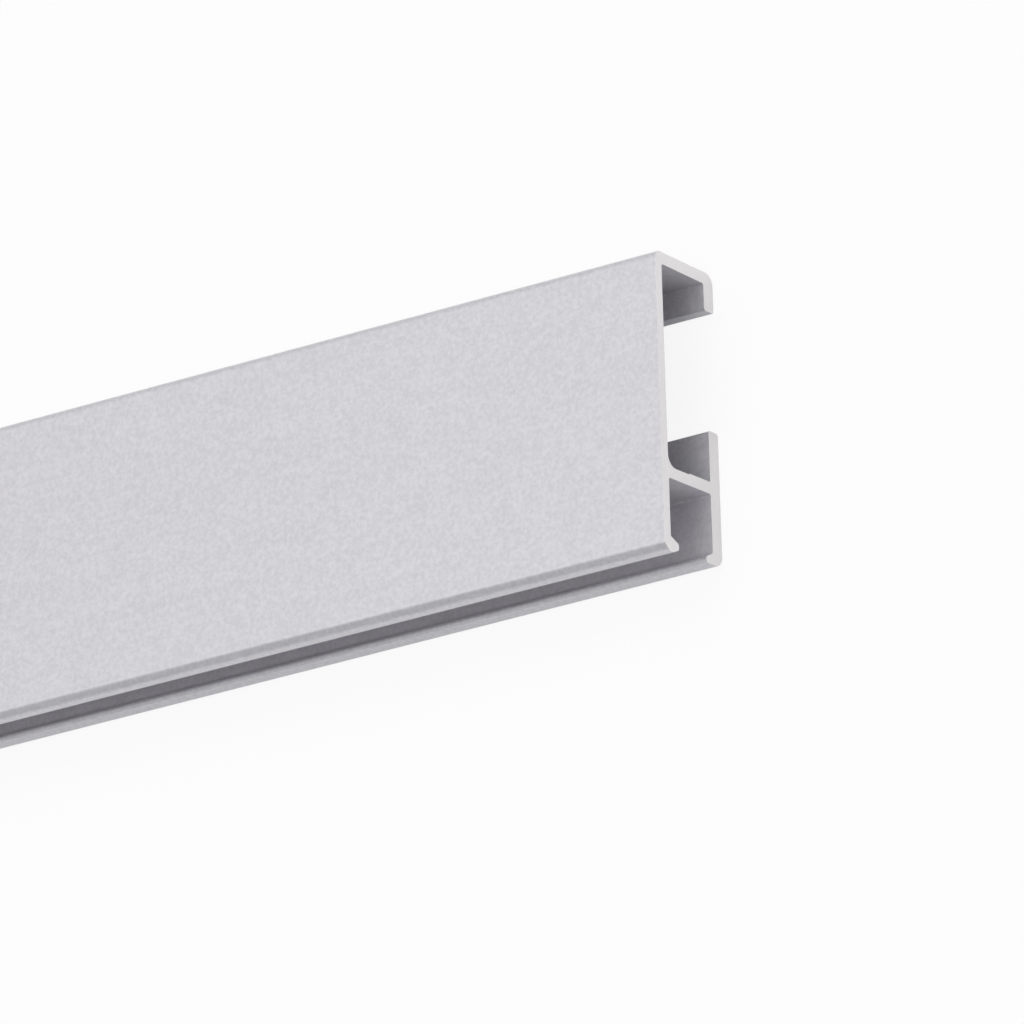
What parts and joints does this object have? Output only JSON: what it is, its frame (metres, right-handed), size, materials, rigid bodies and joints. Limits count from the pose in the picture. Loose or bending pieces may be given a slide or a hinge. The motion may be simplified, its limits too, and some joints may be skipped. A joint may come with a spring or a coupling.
{
  "type": "picture rail",
  "caption": "Slim aluminium picture rail: a hollow extruded section that clicks onto wall clips and carries hangers in a slot along its lower edge.",
  "frame": {"origin": "under the middle of the rail, on the surface that it lies on", "axes": "+X along the rail, +Y from the foot with the hanger slot to the top, +Z out of the face that shows on the wall"},
  "size_m": [1, 0.025, 0.008],
  "materials": {
    "anodised_aluminium": "satin anodised, with bare sawn ends"
  },
  "bodies": {
    "root": {"rail_profile": "anodised_aluminium"}
  },
  "joints": []
}
